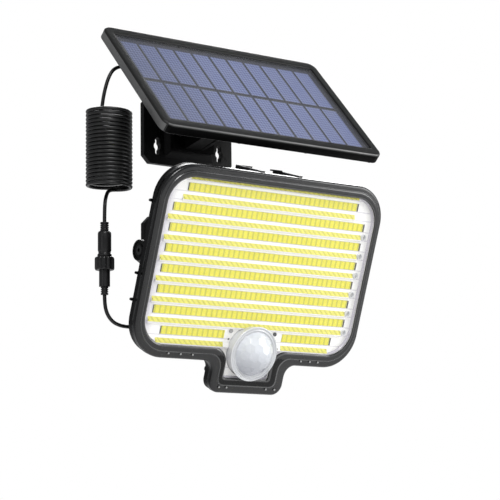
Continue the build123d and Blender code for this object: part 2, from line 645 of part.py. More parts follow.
CELL_T, SHEET_T = 0.4, 0.6
with BuildPart() as solar_cells:
    with BuildSketch(PANEL.offset(GLASS_BACK - CELL_T - 0.02)):
        with GridLocations(CELL_PITCH, CELL_LEN + CELL_GAP, CELL_COLS, CELL_ROWS):
            Rectangle(CELL_W, CELL_LEN)
    extrude(amount=CELL_T)
save(solar_cells, "solar_cells")

with BuildPart() as cell_backsheet:
    sheet_back = GLASS_BACK - CELL_T - 0.04 - SHEET_T
    extrude(panel_rect(sheet_back, OPEN_W + 2.6, OPEN_H + 2.6, 2.8), amount=SHEET_T)
save(cell_backsheet, "cell_backsheet")

with BuildPart() as panel_back_cover:
    cover_w, cover_h = PANEL_W - 2 * FRAME_WALL - 0.4, PANEL_H - 2 * FRAME_WALL - 0.4
    extrude(panel_rect(-PANEL_T, cover_w, cover_h, 4.8), amount=COVER_T)
    extrude(panel_circles(-PANEL_T, PANEL_SCREW_R + 0.2), amount=COVER_T, mode=Mode.SUBTRACT)
    lug_w = 2 * CHEEK_INNER - 0.6
    hub(side_plane(PANEL, -lug_w / 2, 0, PANEL_PIVOT_BACK), HUB_R, 16.5, 36, lug_w)
    disc(side_plane(PANEL, -20, 0, PANEL_PIVOT_BACK), BOLT_R + FIT, 40, mode=Mode.SUBTRACT)
save(panel_back_cover, "panel_back_cover")

with BuildPart() as panel_screws:
    for x, up in PANEL_SCREWS:
        head = shifted(PANEL.offset(-PANEL_T), x, up)
        disc(head, PANEL_SCREW_HEAD_R, -1.6)
        disc(head, PANEL_SCREW_R, 5.0)
        disc(head.offset(-1.6), 1.0, 0.9, mode=Mode.SUBTRACT)
save(panel_screws, "panel_screws")

BOX_X, BOX_UP, BOX_W, BOX_H, BOX_T = -49.0, 33.6, 34.0, 24.0, 14.0
with BuildPart() as junction_box:
    with BuildSketch(shifted(PANEL.offset(-PANEL_T - 0.05), BOX_X, BOX_UP)) as footprint:
        RectangleRounded(BOX_W, BOX_H, 3)
    extrude(footprint.sketch, amount=-BOX_T)
    lid = junction_box.faces().sort_by(Axis(PANEL.origin, PANEL.z_dir))[0]
    fillet(lid.edges(), 1.5)
    with BuildSketch(shifted(PANEL.offset(-PANEL_T - 0.05), BOX_X, BOX_UP)) as cavity:
        RectangleRounded(BOX_W - 4, BOX_H - 4, 2)
    extrude(cavity.sketch, amount=-BOX_T + 2, mode=Mode.SUBTRACT)
    box_side = side_plane(PANEL, BOX_X - BOX_W / 2, BOX_UP, -PANEL_T - BOX_T / 2)
    disc(box_side, GLAND_R + FIT, 3, mode=Mode.SUBTRACT)
save(junction_box, "junction_box")

with BuildPart() as charge_board:
    with BuildSketch(shifted(PANEL.offset(-PANEL_T - 4), BOX_X, BOX_UP)) as board:
        Rectangle(BOX_W - 6, BOX_H - 6)
    extrude(board.sketch, amount=1.6)
save(charge_board, "charge_board")

cable_gland("panel_cable_gland", left_plane(box_side.origin), GLAND_LENGTH - 2, 2.5)

# ---------------------------------------------------------------- panel arm and pivot
arm_face = PAD_FACE - SEAT_T
with BuildPart() as panel_arm:
    with BuildSketch(wall_plane(0, PANEL_PLATE_Z, PAD_FACE)):
        Rectangle(2 * PAD_HALF_W, 2 * PAD_HALF_H - 4)
        with GridLocations(2 * BOLT_X, 1, 2, 1):
            Circle(BOLT_R + FIT, mode=Mode.SUBTRACT)
    extrude(amount=SEAT_T)
    for x in (-CHEEK_INNER - CHEEK_T, CHEEK_INNER):
        with BuildSketch(Plane(origin=(x, 0, 0), x_dir=(0, 1, 0), z_dir=(1, 0, 0))) as cheek:
            with Locations((PANEL_PIVOT.Y, PANEL_PIVOT.Z)):
                Circle(HUB_R)
            with Locations((arm_face + 1, PANEL_PLATE_Z)):
                Rectangle(2, 28)
            make_hull()
        extrude(cheek.sketch, amount=CHEEK_T)
    with BuildSketch(Plane(origin=(-CHEEK_INNER, 0, 0), x_dir=(0, 1, 0), z_dir=(1, 0, 0))) as web:
        with BuildLine():
            Polyline(
                (arm_face + 1, 83.5),
                (-40, 89.5),
                (-40, 93),
                (arm_face + 1, 87),
                close=True,
            )
        make_face()
    extrude(web.sketch, amount=2 * CHEEK_INNER)
    bolt_line = Plane(origin=(-20, PANEL_PIVOT.Y, PANEL_PIVOT.Z), z_dir=(1, 0, 0))
    disc(bolt_line, BOLT_R + FIT, 40, mode=Mode.SUBTRACT)
save(panel_arm, "panel_arm")
bracket_fasteners("panel_arm", PANEL_PLATE_Z, SEAT_T)

with BuildPart() as panel_pivot_bolt:
    cheek_out = CHEEK_INNER + CHEEK_T
    seat = Plane(origin=(-cheek_out, PANEL_PIVOT.Y, PANEL_PIVOT.Z), z_dir=(-1, 0, 0))
    cap_bolt(seat, 2 * cheek_out + NUT_H + 1)
save(panel_pivot_bolt, "panel_pivot_bolt")

with BuildPart() as panel_pivot_nut:
    hex_nut(Plane(origin=(cheek_out, PANEL_PIVOT.Y, PANEL_PIVOT.Z), z_dir=(1, 0, 0)), NUT_H)
save(panel_pivot_nut, "panel_pivot_nut")


# ---------------------------------------------------------------- cord and plug
def cord_tube(name, points):
    """A cord's uncoiled stretch: straight runs joined by arcs as large as they allow."""
    route = [Vector(*p) for p in points]
    runs = [(b - a).length for a, b in zip(route, route[1:])]
    radii = []
    for a, b, c, run_in, run_out in zip(route, route[1:], route[2:], runs, runs[1:]):
        half_turn = radians((b - a).get_angle(c - b)) / 2
        radii.append(0.45 * min(run_in, run_out) * cos(half_turn) / sin(half_turn))
    with BuildPart() as tube:
        with BuildLine() as path:
            FilletPolyline(*points, radius=radii)
        with BuildSketch(path.line ^ 0):
            Circle(CORD_D / 2)
        sweep()
    section, length = pi * CORD_D**2 / 4, path.wires()[0].length
    print(name, "runs", [round(r, 1) for r in runs], "radii", [round(r, 1) for r in radii])
    print(name, "volume / (section x length)", round(tube.part.volume / section / length, 4))
    save(tube, name)


with BuildPart() as cord_coil:
    ring = Plane(origin=(COIL_X, COIL_Y, COIL_BOTTOM))
    disc(ring, COIL_OD / 2, COIL_TOP - COIL_BOTTOM, bore=COIL_OD / 2 - CORD_D)
save(cord_coil, "cord_coil")

panel_exit = box_side.origin + Vector(-GLAND_LENGTH + 2, 0, 0)
cord_tube(
    "panel_lead",
    [
        tuple(panel_exit),
        (panel_exit.X - 8.0, panel_exit.Y, panel_exit.Z),
        (-92.8, -47.4, 132.0),
        (-99.8, -47.0, 128.4),
        (-103.6, -46.4, 121.2),
        (-105.9, -45.6, 112.8),
        (-107.4, -44.8, 104.2),
        (-108.1, -44.3, 98.6),
        (-108.1, -44.3, COIL_TOP),
    ],
)
cord_tube(
    "plug_lead",
    [
        (COIL_X + 16.1, COIL_Y + 2.4, 35.0),
        (-101.4, -56.0, 34.6),
        (-107.2, -56.4, 33.2),
        (-111.9, -58.0, 29.6),
        (-115.0, -59.6, 23.6),
        (PLUG_X, PLUG_Y, 15.2),
        (PLUG_X, PLUG_Y, 6.8),
    ],
)
lamp_exit = lamp_gland_at + Vector(-GLAND_LENGTH, 0, 0)
cord_tube(
    "lamp_lead",
    [
        (PLUG_X, PLUG_Y, -47.3),
        (PLUG_X, PLUG_Y, -53.6),
        (-114.2, -60.4, -61.2),
        (-109.4, -60.9, -67.2),
        (-102.6, -61.2, -69.6),
        (-96.0, lamp_exit.Y, lamp_exit.Z),
        tuple(lamp_exit),
    ],
)


def plug_plane(z):
    """A level plane on the plug's axis."""
    return Plane(origin=(PLUG_X, PLUG_Y, z))


def ribbed_relief(name, bottom, top, radius):
    """A strain relief with three grooves round it."""
    with BuildPart() as relief:
        disc(plug_plane(bottom), radius, top - bottom)
        step = (top - bottom) / 4
        for i in range(1, 4):
            disc(plug_plane(bottom + i * step - 0.35), radius + 1, 0.7, radius - 0.7, Mode.SUBTRACT)
    save(relief, name)


SOCKET_TOP, NUT_TOP, NUT_BOTTOM, PLUG_BOTTOM = 0.4, -19.1, -29.0, -41.2
ribbed_relief("socket_relief", SOCKET_TOP, 6.8, 3.15)
ribbed_relief("plug_relief", -47.3, PLUG_BOTTOM, 2.8)

with BuildPart() as socket_body:
    disc(plug_plane(-17.6), 5.0, 17.6 + SOCKET_TOP)
    disc(plug_plane(NUT_TOP), 5.3, 1.5)
    disc(plug_plane(-26.0), 4.6, 6.9)
    disc(plug_plane(-26.0), 3.3, 7.5, mode=Mode.SUBTRACT)
save(socket_body, "socket_body")

with BuildPart() as plug_body:
    disc(plug_plane(PLUG_BOTTOM), 4.05, 12.2)
    disc(plug_plane(-29.0), 3.1, 8.0)
    disc(plug_plane(-28.0), 4.5, 1.6)
    for x in (-1.2, 1.2):
        disc(shifted(plug_plane(-23.0), x, 0), 0.55, 2.1, mode=Mode.SUBTRACT)
save(plug_body, "plug_body")

with BuildPart() as plug_pins:
    for x in (-1.2, 1.2):
        disc(shifted(plug_plane(-23.0), x, 0), 0.5, 4.0)
save(plug_pins, "plug_pins")

with BuildPart() as plug_seal:
    disc(plug_plane(-26.35), 4.5, 0.3, bore=3.2)
save(plug_seal, "plug_seal")

LOBES = 10
with BuildPart() as coupling_nut:
    disc(plug_plane(NUT_BOTTOM), 7.4, NUT_TOP - 0.1 - NUT_BOTTOM)
    with BuildSketch(plug_plane(NUT_BOTTOM)) as flutes:
        with PolarLocations(8.1, LOBES):
            Circle(1.3)
    extrude(flutes.sketch, amount=NUT_TOP - 0.1 - NUT_BOTTOM, mode=Mode.SUBTRACT)
    disc(plug_plane(NUT_BOTTOM), 4.15, 1.0, mode=Mode.SUBTRACT)
    disc(plug_plane(NUT_BOTTOM + 0.9), 4.7, 12, mode=Mode.SUBTRACT)
save(coupling_nut, "coupling_nut")
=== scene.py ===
"""Looks of the wall-mounted solar flood light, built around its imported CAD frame."""
from math import atan2, cos, hypot, radians, sin

import bmesh
import bpy
from mathutils import Matrix, Vector


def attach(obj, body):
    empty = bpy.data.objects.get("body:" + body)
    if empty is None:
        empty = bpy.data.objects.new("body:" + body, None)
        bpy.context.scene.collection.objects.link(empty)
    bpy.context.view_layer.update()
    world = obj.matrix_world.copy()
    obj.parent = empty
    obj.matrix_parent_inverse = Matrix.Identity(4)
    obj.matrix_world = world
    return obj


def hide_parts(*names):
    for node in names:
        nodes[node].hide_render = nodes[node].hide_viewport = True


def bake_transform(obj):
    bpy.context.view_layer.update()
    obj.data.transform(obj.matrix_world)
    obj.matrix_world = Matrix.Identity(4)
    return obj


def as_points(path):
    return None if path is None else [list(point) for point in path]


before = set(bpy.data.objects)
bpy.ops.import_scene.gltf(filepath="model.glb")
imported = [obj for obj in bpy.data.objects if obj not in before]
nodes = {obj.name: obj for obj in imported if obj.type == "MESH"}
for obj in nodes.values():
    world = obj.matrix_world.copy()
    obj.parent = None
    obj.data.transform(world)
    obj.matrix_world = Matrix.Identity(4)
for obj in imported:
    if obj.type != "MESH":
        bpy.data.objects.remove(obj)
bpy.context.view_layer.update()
MM = 0.001


# ---------------------------------------------------------------- camera
def make_camera():
    """The camera: where it stands, its right and where it looks."""
    data = bpy.data.cameras.new("camera")
    data.sensor_width = 36.0
    data.lens = 136.8
    data.clip_start, data.clip_end = 0.05, 50.0
    camera = bpy.data.objects.new("camera", data)
    right = Vector((0.7978, -0.6028, -0.0125))
    forward = Vector((0.5971, 0.7870, 0.1551)).normalized()
    up = right.cross(forward).normalized()
    right = forward.cross(up).normalized()
    turn = Matrix((right, up, -forward)).transposed().to_4x4()
    camera.matrix_world = Matrix.Translation((-0.8688, -1.2304, -0.2331)) @ turn
    bpy.context.scene.collection.objects.link(camera)
    bpy.context.scene.camera = camera


make_camera()


# ---------------------------------------------------------------- local frames, in millimetres
def leaning(origin, degrees):
    """A function from (x, up, out) on a leaning face, in millimetres, to a point in metres."""
    a = radians(degrees)
    up_dir, out_dir = Vector((0, sin(a), cos(a))), Vector((0, -cos(a), sin(a)))
    base = Vector(origin)

    def place(x, up, out):
        return (base + Vector((x, 0, 0)) + up_dir * up + out_dir * out) * MM

    return place


LAMP_AT, LAMP_LEAN = (0, -99.8, -22.4), -20.3
PANEL_AT, PANEL_LEAN = (0, -81.3, 117.8), 42.5
lamp = leaning(LAMP_AT, LAMP_LEAN)
panel = leaning(PANEL_AT, PANEL_LEAN)

# The light strips' rows on the lamp's face, and the solar cells' pitch.
ROWS, ROW_PITCH, STRIP_H = 8, 15.45, 6.0
CELL_PITCH = 16.97


def upright(x, y, z):
    """A point of the row frame given in millimetres."""
    return Vector((x, y, z)) * MM


# ---------------------------------------------------------------- material nodes
class Nodes:
    """A material's node tree, with its principled shader and short ways to add nodes."""

    def __init__(self, name):
        self.material = bpy.data.materials.new(name)
        self.material.use_nodes = True
        self.tree = self.material.node_tree
        self.shader = self.tree.nodes["Principled BSDF"]
        self.coordinates = self.tree.nodes.new("ShaderNodeTexCoord")

    def add(self, kind, settings=(), inputs=()):
        node = self.tree.nodes.new(kind)
        for key, value in dict(settings).items():
            setattr(node, key, value)
        for key, value in dict(inputs).items():
            self.feed(node, key, value)
        return node

    def feed(self, node, key, value):
        if isinstance(value, bpy.types.NodeSocket):
            self.tree.links.new(value, node.inputs[key])
        else:
            node.inputs[key].default_value = value

    def point(self):
        return self.coordinates.outputs["Object"]

    def maths(self, operation, a, b=0.0, c=0.0):
        node = self.add("ShaderNodeMath", {"operation": operation}, {0: a, 1: b, 2: c})
        return node.outputs[0]

    def along(self, direction, origin=(0, 0, 0)):
        """Distance along a direction from an origin, as a socket, in metres."""
        moved = self.add(
            "ShaderNodeVectorMath", {"operation": "SUBTRACT"}, {0: self.point(), 1: origin}
        )
        dot = self.add(
            "ShaderNodeVectorMath", {"operation": "DOT_PRODUCT"}, {0: moved.outputs[0], 1: direction}
        )
        return dot.outputs["Value"]

    def height_up(self, origin, degrees):
        """Height up a leaning face from its origin, as a socket, in metres."""
        a = radians(degrees)
        return self.along((0, sin(a), cos(a)), [MM * value for value in origin])

    def noise(self, scale, detail=3.0, stretch=None):
        vector = self.point()
        if stretch:
            vector = self.add("ShaderNodeMapping", {}, {0: vector, "Scale": stretch}).outputs[0]
        made = self.add(
            "ShaderNodeTexNoise", {}, {"Vector": vector, "Scale": scale, "Detail": detail}
        )
        return made.outputs["Fac"]

    def ramp(self, fac, stops):
        node = self.add("ShaderNodeValToRGB", {}, {"Fac": fac})
        elements = node.color_ramp.elements
        while len(elements) < len(stops):
            elements.new(0.5)
        for element, (at, color) in zip(elements, stops):
            element.position = at
            element.color = (*color, 1.0)
        return node.outputs["Color"]

    def mix(self, fac, a, b):
        node = self.add("ShaderNodeMix", {"data_type": "RGBA"}, {"Factor": fac})
        self.feed(node, 6, a if isinstance(a, bpy.types.NodeSocket) else (*a, 1.0))
        self.feed(node, 7, b if isinstance(b, bpy.types.NodeSocket) else (*b, 1.0))
        return node.outputs[2]

    def span(self, value, low, high, to_low, to_high):
        """A value's straight change from one range to another, held at its ends."""
        limits = {"Value": value, 1: low, 2: high, 3: to_low, 4: to_high}
        return self.add("ShaderNodeMapRange", {}, limits).outputs[0]

    def bump(self, height, distance):
        node = self.add(
            "ShaderNodeBump", {}, {"Height": height, "Distance": distance, "Strength": 1.0}
        )
        self.feed(self.shader, "Normal", node.outputs[0])

    def set(self, **values):
        """Feeds sockets of the shader, named with underscores for spaces."""
        for key, value in values.items():
            name = key.replace("_", " ").title().replace("Ior", "IOR")
            self.feed(self.shader, name, value)


def moulded(name, dark, light, rough, grain=0.00002, scale=2600.0, coat=0.0, metal=0.0, gloss=0.5):
    """Moulded plastic, rubber or paint: a faint mottle, uneven gloss and a fine grain."""
    n = Nodes(name)
    mottle = n.noise(38.0, 4.0)
    n.set(Base_Color=n.ramp(mottle, [(0.3, dark), (0.72, light)]))
    n.set(Roughness=n.span(n.noise(160.0), 0.3, 0.7, rough - 0.05, rough + 0.06))
    n.set(Metallic=metal, Coat_Weight=coat, Coat_Roughness=0.12, Specular_IOR_Level=gloss)
    n.bump(n.noise(scale, 2.0), grain)
    return n.material


def turned_metal(name, dark, light, rough):
    """Plated steel with fine drawn lines."""
    n = Nodes(name)
    lines = n.noise(900.0, 4.0, (1, 1, 14))
    n.set(Base_Color=n.ramp(lines, [(0.3, dark), (0.7, light)]))
    n.set(Roughness=n.span(lines, 0.2, 0.8, rough - 0.08, rough + 0.1), Metallic=1.0)
    n.bump(lines, 0.00001)
    return n.material


def clear_cover(name, tint, alpha, rough):
    """A clear hard cover with faint haze."""
    n = Nodes(name)
    haze = n.noise(60.0, 2.0)
    n.set(Base_Color=n.ramp(haze, [(0.3, tint), (0.7, (1, 1, 1))]), Alpha=alpha)
    n.set(Roughness=n.span(haze, 0.3, 0.7, rough, rough + 0.04))
    n.set(Coat_Weight=1.0, Coat_Roughness=0.04)
    n.material.surface_render_method = "BLENDED"
    return n.material


def circuit_board(name):
    """Solder mask with faint copper runs under it."""
    n = Nodes(name)
    runs = n.add("ShaderNodeTexBrick", {}, {"Vector": n.point(), "Scale": 130.0})
    n.feed(runs, "Color1", (0.03, 0.16, 0.06, 1))
    n.feed(runs, "Color2", (0.035, 0.19, 0.07, 1))
    n.feed(runs, "Mortar", (0.05, 0.28, 0.12, 1))
    n.set(Base_Color=runs.outputs["Color"])
    n.set(Roughness=n.span(n.noise(300.0), 0.3, 0.7, 0.3, 0.42))
    n.bump(runs.outputs["Fac"], 0.00003)
    return n.material


def phosphor(name, slant, bright, deep, dull):
    """Yellow light strip, or its painted reflection: a darker tick between its dies, upright or
    slanted.
    """
    die_pitch = 4.7
    n = Nodes(name)
    up = n.height_up(LAMP_AT, LAMP_LEAN)
    shifted = n.maths("MULTIPLY_ADD", up, slant, n.along((1, 0, 0)))
    phase = n.maths("PINGPONG", shifted, die_pitch / 2 * MM)
    line = n.span(phase, 0.25 * MM, 1.1 * MM, 0.0, 1.0)
    blotch = n.noise(420.0, 2.0)
    glow = n.ramp(blotch, [(0.3, deep), (0.7, bright)])
    n.set(Base_Color=n.mix(line, dull, glow), Roughness=0.42)
    n.set(Emission_Color=n.mix(line, dull, glow), Emission_Strength=0.14)
    n.bump(n.maths("ADD", line, n.maths("MULTIPLY", blotch, 0.4)), 0.00012)
    return n.material


def reflector(name):
    """White moulding with painted shade down its left margin and in the two creases of every ridge, and
    a painted glow.
    """
    ridge_drop = 6.8  # from a strip's middle down to the middle of its ridge
    n = Nodes(name)
    white = n.ramp(n.noise(38.0, 4.0), [(0.3, (0.84, 0.83, 0.81)), (0.72, (0.90, 0.89, 0.87))])
    ridge_up = (ROW_PITCH / 2 - ridge_drop) * MM
    above = n.maths("SUBTRACT", n.height_up(LAMP_AT, LAMP_LEAN), ridge_up)
    ridge = n.maths("PINGPONG", above, ROW_PITCH / 2 * MM)
    # Painted shade: greyer in the two creases of every ridge and down the left margin.
    inner_edge = n.span(ridge, 2.7 * MM, 3.1 * MM, 0.0, 1.0)
    crease_shade = n.maths("MULTIPLY", inner_edge, n.span(ridge, 3.4 * MM, 3.9 * MM, 1.0, 0.0))
    margin_shade = n.span(n.along((1, 0, 0)), -97.5 * MM, -88.5 * MM, 1.0, 0.0)
    shade = n.maths("MAXIMUM", n.maths("MULTIPLY", crease_shade, 0.6), margin_shade)
    finish = n.mix(shade, white, (0.46, 0.44, 0.50))
    # Painted light: the moulding glows though it is no lamp.
    n.set(Base_Color=finish, Emission_Color=finish, Emission_Strength=0.13)
    n.set(Roughness=n.span(n.noise(160.0), 0.3, 0.7, 0.15, 0.26))
    n.set(Coat_Weight=0.4, Coat_Roughness=0.12)
    n.bump(n.noise(2000.0, 2.0), 0.00001)
    return n.material


def milky_cap(name):
    """The motion sensor's milky cap, with painted shade greying its lower side."""
    n = Nodes(name)
    milk = n.ramp(n.noise(38.0, 4.0), [(0.3, (0.66, 0.69, 0.73)), (0.72, (0.76, 0.78, 0.82))])
    # Painted shade: the cap darkens toward its lower side.
    height = n.span(n.height_up(LAMP_AT, LAMP_LEAN), -79 * MM, -60 * MM, 0.0, 1.0)
    n.set(Base_Color=n.mix(height, (0.40, 0.41, 0.45), milk))
    n.set(Roughness=n.span(n.noise(160.0), 0.3, 0.7, 0.21, 0.32))
    n.set(Coat_Weight=0.4, Coat_Roughness=0.12)
    n.bump(n.noise(1200.0, 2.0), 0.00002)
    return n.material


def silicon(name):
    """Solar cell: blue silicon with a woven grid and dark rims, with painted shade deepening it toward
    the left.
    """
    n = Nodes(name)
    up = n.height_up(PANEL_AT, PANEL_LEAN)
    x = n.along((1, 0, 0))
    fingers = n.span(n.maths("PINGPONG", up, 1.6 * MM), 0.4 * MM, 1.2 * MM, 1.0, 0.0)
    posts = n.span(n.maths("PINGPONG", x, 1.4 * MM), 0.4 * MM, 1.1 * MM, 1.0, 0.0)
    mesh = n.maths("MULTIPLY", n.maths("ADD", fingers, posts), 0.5)
    crystal = n.noise(70.0, 3.0)
    blue = n.ramp(crystal, [(0.3, (0.030, 0.048, 0.170)), (0.7, (0.042, 0.062, 0.205))])
    # Lit and shaded copies of the cell colour: painted shade blends toward the deep one at the left.
    light = n.mix(mesh, blue, (0.19, 0.23, 0.42))
    deep = n.mix(mesh, (0.016, 0.026, 0.090), (0.10, 0.125, 0.25))
    woven_painted_shade = n.mix(n.span(x, -104 * MM, -10 * MM, 0.0, 1.0), deep, light)
    across = n.maths("PINGPONG", x, CELL_PITCH / 2 * MM)
    side_rim = n.span(across, 7.0 * MM, 7.5 * MM, 0.0, 1.0)
    end_rim = n.span(n.maths("ABSOLUTE", up), 1.8 * MM, 2.4 * MM, 1.0, 0.0)
    rim = n.maths("MAXIMUM", side_rim, end_rim)
    n.set(Base_Color=n.mix(rim, woven_painted_shade, (0.006, 0.0065, 0.012)))
    n.set(Roughness=n.span(crystal, 0.3, 0.7, 0.3, 0.4), Metallic=0.1)
    n.bump(mesh, 0.00003)
    return n.material


PAINT = moulded(
    "bracket_paint", (0.002, 0.002, 0.002), (0.0045, 0.0045, 0.0048), 0.42, 0.00006, 900, gloss=0.12
)
# A darker, duller copy of the bracket paint: painted shade on the panel arm and under the panel frame.
PAINTED_SHADE_BLACK = moulded(
    "painted_shade_black", (0.0012, 0.0012, 0.0012), (0.0025, 0.0025, 0.0026), 0.5, 0.00006, 900, gloss=0.04
)
BEZEL = moulded(
    "bezel_black", (0.004, 0.004, 0.0045), (0.007, 0.007, 0.0075), 0.24, 0.000006, 3000, 0.4, gloss=0.35
)
# A lighter copy of the bezel plastic: painted highlight on two lines along the bezel's edges.
BEZEL_PAINTED_HIGHLIGHT = moulded(
    "bezel_painted_highlight", (0.035, 0.035, 0.036), (0.055, 0.055, 0.056), 0.2, 0.000006, 3000, 0.4
)
# A darker, less glossy copy of the bezel plastic: painted shade on the bezel's walls and tab crown.
BEZEL_PAINTED_SHADE = moulded(
    "bezel_painted_shade", (0.003, 0.003, 0.0032), (0.006, 0.006, 0.0063), 0.26, 0.000006, 3000, gloss=0.24
)
# Light grey: on the bezel's pips it is a painted highlight for their glints; the light sensor is also
# given it.
PIP = moulded("pip_grey", (0.26, 0.26, 0.26), (0.36, 0.36, 0.36), 0.3)
HOUSING = moulded(
    "housing_black", (0.003, 0.003, 0.0033), (0.006, 0.006, 0.0065), 0.46, 0.00004, gloss=0.14
)
FRAME = moulded("panel_black", (0.006, 0.006, 0.0058), (0.010, 0.010, 0.0095), 0.36, 0.00002, gloss=0.3)
# A lighter copy of the frame plastic: painted light on the frame's side walls and lower edge.
FRAME_PAINTED_LIGHT = moulded("panel_painted_light", (0.085, 0.085, 0.085), (0.115, 0.115, 0.114), 0.32, 0.00002)
CORD = moulded("cord_black", (0.003, 0.003, 0.003), (0.006, 0.006, 0.006), 0.33, 0.00002, gloss=0.4)
PLUG = moulded("plug_black", (0.004, 0.004, 0.0042), (0.008, 0.008, 0.0085), 0.34, 0.00003, gloss=0.35)
INNER = moulded("inner_black", (0.012, 0.012, 0.013), (0.022, 0.022, 0.024), 0.5)
RUBBER = moulded("soft_rubber", (0.02, 0.02, 0.021), (0.034, 0.034, 0.035), 0.62, 0.00003)
SCREW = moulded("black_oxide", (0.025, 0.025, 0.026), (0.05, 0.05, 0.052), 0.3, 0.00002, 1500, 0, 0.8)
ZINC = turned_metal("zinc_plate", (0.42, 0.42, 0.41), (0.66, 0.66, 0.64), 0.34)
BRASS = turned_metal("contact_brass", (0.55, 0.42, 0.2), (0.8, 0.66, 0.38), 0.28)
WRAP = moulded("cell_wrap", (0.05, 0.14, 0.38), (0.07, 0.18, 0.45), 0.25, 0.00001)
WHITE = reflector("reflector_white")
LINER = moulded("window_wall", (0.50, 0.48, 0.54), (0.58, 0.56, 0.61), 0.3, 0.00001, 2000, 0.3)
RING = moulded("ring_grey", (0.60, 0.61, 0.63), (0.72, 0.73, 0.75), 0.2, 0.00001, 2000, 0.5)
MILKY = milky_cap("dome_milky")
RESIN = moulded("dark_resin", (0.01, 0.01, 0.014), (0.03, 0.03, 0.04), 0.12)
SHEET = moulded("backsheet", (0.010, 0.011, 0.024), (0.016, 0.017, 0.034), 0.5)
BOARD = circuit_board("circuit_board")
GLOW = phosphor("phosphor", 0.0, (0.75, 0.69, 0.04), (0.67, 0.61, 0.028), (0.48, 0.46, 0.03))
# The strips' painted reflection in the ridges, glowing with painted light.
PAINTED_STRIP_REFLECTION = phosphor(
    "phosphor_painted_reflection", 0.9, (0.66, 0.62, 0.08), (0.58, 0.54, 0.05), (0.44, 0.42, 0.04)
)
CELL = silicon("silicon")
LENS = clear_cover("lens_clear", (0.93, 0.95, 0.97), 0.035, 0.05)
GLASS = clear_cover("panel_glass", (0.80, 0.84, 0.95), 0.05, 0.05)


# ---------------------------------------------------------------- carried-over CAD nodes
def dress(names, finish, edge=0.0):
    """Gives CAD nodes their material and softly rounded edges, in millimetres."""
    for name in names.split():
        node = nodes[name]
        node.data.materials.clear()
        node.data.materials.append(finish)
        if edge:
            weld = node.modifiers.new("weld", "WELD")
            weld.merge_threshold = 0.000002
            bevel = node.modifiers.new("edge", "BEVEL")
            bevel.width = edge * MM
            bevel.segments = 2
            bevel.limit_method = "ANGLE"
            bevel.angle_limit = radians(32)
            bevel.use_clamp_overlap = True
            node.modifiers.new("normals", "WEIGHTED_NORMAL")


dress("lamp_wall_plate panel_wall_plate", PAINT, 0.45)
dress("lamp_yoke", PAINT, 0.4)
# The panel arm is darkened with painted shade.
dress("panel_arm", PAINTED_SHADE_BLACK, 0.4)
dress("rear_housing", HOUSING, 0.4)
dress("junction_box panel_back_cover", FRAME, 0.3)
dress("lamp_yoke_bolts lamp_pivot_bolts panel_arm_bolts panel_pivot_bolt", SCREW, 0.2)
dress("housing_screws panel_screws", SCREW, 0.15)
dress("lamp_yoke_nuts lamp_pivot_nuts panel_arm_nuts panel_pivot_nut", ZINC, 0.12)
dress("reflector_screws", ZINC, 0.1)
dress("lamp_pivot_spacers battery_holder power_switch", INNER, 0.15)
dress("plug_body", PLUG, 0.35)
dress("socket_relief plug_relief", PLUG, 0.15)
dress("lamp_cable_gland panel_cable_gland", PLUG, 0.25)
dress("power_button plug_seal housing_seal", RUBBER, 0.1)
dress("reflector_tray", WHITE, 0.15)
dress("led_strips", GLOW)
dress("led_board sensor_board control_board charge_board", BOARD)
dress("remote_receiver", RESIN, 0.15)
dress("light_sensor", PIP, 0.15)
dress("pir_sensor battery_contacts plug_pins", BRASS, 0.05)
dress("battery_cells", WRAP, 0.4)
dress("solar_cells", CELL)
dress("cell_backsheet", SHEET)
dress("panel_glass", GLASS)
dress("front_lens", LENS, 0.3)


# ---------------------------------------------------------------- mesh helpers
def piece(name, verts, faces, finish, body, smooth=True, replaced=()):
    """A mesh piece that rides on a body and may stand for CAD nodes."""
    mesh = bpy.data.meshes.new(name)
    mesh.from_pydata([tuple(v) for v in verts], [], faces)
    mesh.materials.append(finish)
    tidy = bmesh.new()
    tidy.from_mesh(mesh)
    bmesh.ops.remove_doubles(tidy, verts=tidy.verts, dist=1e-7)
    bmesh.ops.recalc_face_normals(tidy, faces=tidy.faces)
    tidy.to_mesh(mesh)
    tidy.free()
    made = bpy.data.objects.new(name, mesh)
    bpy.context.scene.collection.objects.link(made)
    for face in mesh.polygons:
        face.use_smooth = smooth
    if body:
        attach(made, body)
    if replaced:
        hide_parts(*replaced)
    return made


def soften(made, width, segments=2, angle=30):
    """Rounds a piece's sharp edges, in millimetres."""
    bevel = made.modifiers.new("edge", "BEVEL")
    bevel.width = width * MM
    bevel.segments = segments
    bevel.limit_method = "ANGLE"
    bevel.angle_limit = radians(angle)
    made.modifiers.new("normals", "WEIGHTED_NORMAL")
    return made


def skin(loops, closed=False):
    """Vertices and quads joining equal closed loops, one after the next."""
    count = len(loops[0])
    verts = [p for loop in loops for p in loop]
    faces = []
    pairs = len(loops) if closed else len(loops) - 1
    for i in range(pairs):
        a, b = i * count, (i + 1) % len(loops) * count
        for j in range(count):
            k = (j + 1) % count
            faces.append((a + j, a + k, b + k, b + j))
    return verts, faces


def paint_band(made, count, first, last, slot, wanted=lambda face: True):
    """Gives the wanted faces between two of a skin's loops of count points another material."""
    for face in made.data.polygons[first * count : last * count]:
        if wanted(face):
            face.material_index = slot


def arc(cx, cy, radius, start, end, steps):
    """Points of a plane arc, its ends included, in degrees."""
    angles = [radians(start + (end - start) * i / steps) for i in range(steps + 1)]
    return [(cx + radius * cos(a), cy + radius * sin(a)) for a in angles]


def lathe(name, profile, place, centre, finish, body, steps=64, replaced=()):
    """A turned piece: (radius, out) points round an axis through centre = (x, up)."""
    loops = []
    for radius, out in profile:
        ring = arc(centre[0], centre[1], radius, 0, 360, steps)[:-1]
        loops.append([place(x, up, out) for x, up in ring])
    verts, faces = skin(loops)
    return piece(name, verts, faces, finish, body, True, replaced)


